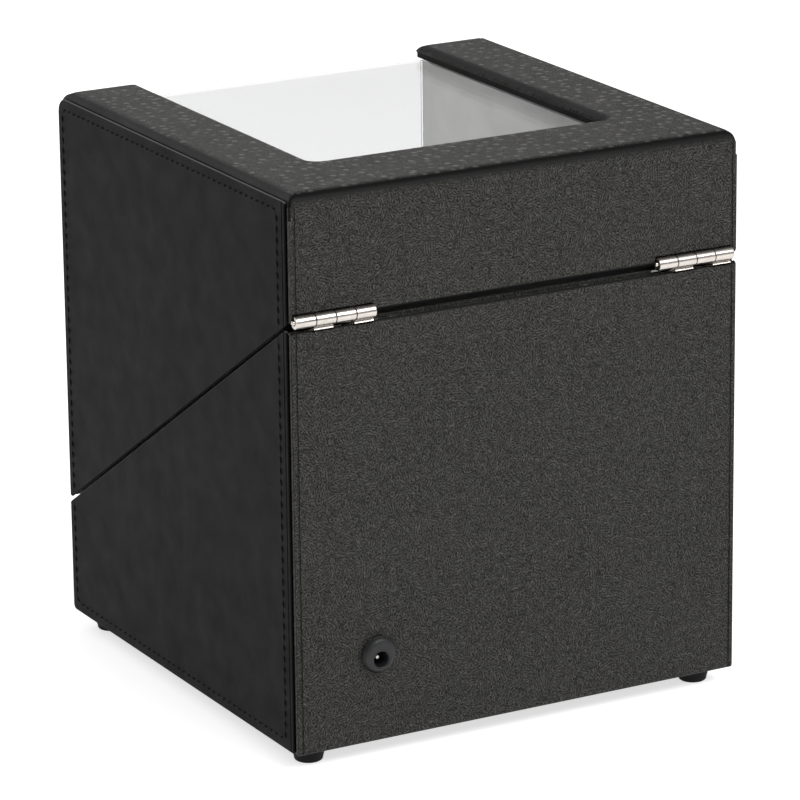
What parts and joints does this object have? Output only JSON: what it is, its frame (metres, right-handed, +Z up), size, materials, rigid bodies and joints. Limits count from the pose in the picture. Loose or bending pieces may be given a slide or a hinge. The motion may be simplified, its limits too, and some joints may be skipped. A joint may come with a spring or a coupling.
{
  "type": "watch winder box",
  "caption": "Cube-shaped leather watch winder box: slant-split hinged lid with clear top and front, inclined motor-driven turntable with watch cushions, rear power jack, rubber feet.",
  "frame": {"origin": "centre of the footprint, on the surface that the feet stand on", "axes": "+X to the box's right as a person facing its front sees it, +Y towards the back (the side with the hinges and the jack), +Z up"},
  "size_m": [0.178, 0.183, 0.206],
  "materials": {
    "textured_leather": "black grained leatherette, satin",
    "smooth_leather": "black smooth leatherette, matt",
    "grey_lining": "light grey flocked velvet lining",
    "cushion_cloth": "light grey velvet cushion cloth",
    "acrylic": "clear polished acrylic",
    "black_plastic": "black moulded plastic",
    "white_plastic": "off-white acetal",
    "nickel": "bright nickel plate",
    "steel": "zinc-plated steel",
    "brass": "turned brass",
    "rubber": "black rubber, matt",
    "felt": "black felt sheet",
    "circuit_green": "green circuit board",
    "cable": "black insulated lead"
  },
  "bodies": {
    "base": {"base_back_board": "textured_leather", "base_floor_board": "grey_lining", "base_front_board": "textured_leather", "base_side_board_left": "textured_leather", "base_side_board_right": "textured_leather", "base_side_panel_left": "smooth_leather", "base_side_panel_right": "smooth_leather", "bottom_felt": "felt", "button_housing": "black_plastic", "catch_magnet": "nickel", "circuit_board": "circuit_green", "deck_board": "grey_lining", "foot_back_left": "rubber", "foot_back_right": "rubber", "foot_front_left": "rubber", "foot_front_right": "rubber", "foot_screw_back_left": "steel", "foot_screw_back_right": "steel", "foot_screw_front_left": "steel", "foot_screw_front_right": "steel", "gear_motor": "steel", "hinge_base_leaf_left": "nickel", "hinge_base_leaf_right": "nickel", "hinge_pin_left": "nickel", "hinge_pin_right": "nickel", "jack_body": "black_plastic", "jack_flange": "black_plastic", "jack_lead": "cable", "jack_pin": "nickel", "mode_switch": "black_plastic", "motor_bracket": "steel", "motor_lead": "cable", "turntable_bush": "brass", "turntable_ring": "black_plastic"},
    "turntable": {"turntable_drum": "grey_lining", "turntable_shaft": "steel", "drive_gear": "white_plastic"},
    "cushion_left": {"watch_cushion_left": "cushion_cloth"},
    "cushion_right": {"watch_cushion_right": "cushion_cloth"},
    "pinion": {"motor_pinion": "brass", "motor_shaft": "steel"},
    "knob": {"mode_knob": "black_plastic"},
    "button": {"power_button": "nickel"},
    "lid": {"lid_back_board": "textured_leather", "lid_front_frame": "textured_leather", "lid_liner_left": "grey_lining", "lid_liner_right": "grey_lining", "lid_side_board_left": "textured_leather", "lid_side_board_right": "textured_leather", "lid_side_panel_left": "smooth_leather", "lid_side_panel_right": "smooth_leather", "lid_sill_left": "textured_leather", "lid_sill_right": "textured_leather", "lid_top_frame": "textured_leather", "pane_rail": "black_plastic", "top_pane": "acrylic", "front_pane": "acrylic", "catch_plate": "nickel", "hinge_lid_leaf_left": "nickel", "hinge_lid_leaf_right": "nickel"}
  },
  "joints": [
    {"name": "lid_hinge", "type": "hinge", "parent": "base", "child": "lid", "pos_m": [0, 0.0892, 0.16194], "axis": [-1, 0, 0], "range_deg": [0, 95]},
    {"name": "turntable_spin", "type": "hinge", "parent": "base", "child": "turntable", "pos_m": [0, -0.0015, 0.10526], "axis": [0, -0.5299, 0.848], "continuous": true},
    {"name": "pinion_spin", "type": "hinge", "parent": "base", "child": "pinion", "pos_m": [-0.03015, -0.0015, 0.10526], "axis": [0, -0.5299, 0.848], "continuous": true},
    {"name": "cushion_left_pull", "type": "slide", "parent": "turntable", "child": "cushion_left", "axis": [0, -0.5299, 0.848], "range_m": [0, 0.04]},
    {"name": "cushion_right_pull", "type": "slide", "parent": "turntable", "child": "cushion_right", "axis": [0, -0.5299, 0.848], "range_m": [0, 0.04]},
    {"name": "knob_turn", "type": "hinge", "parent": "base", "child": "knob", "pos_m": [0.045, -0.06256, 0.06711], "axis": [0, 0.5299, -0.848], "range_deg": [0, 270]},
    {"name": "button_press", "type": "slide", "parent": "base", "child": "button", "axis": [0, 0.5299, -0.848], "range_m": [0, 0.002], "stiffness_N_per_m": 400}
  ],
  "couplings": [
    {"joint": "pinion_spin", "follows": "turntable_spin", "ratio": -4}
  ]
}
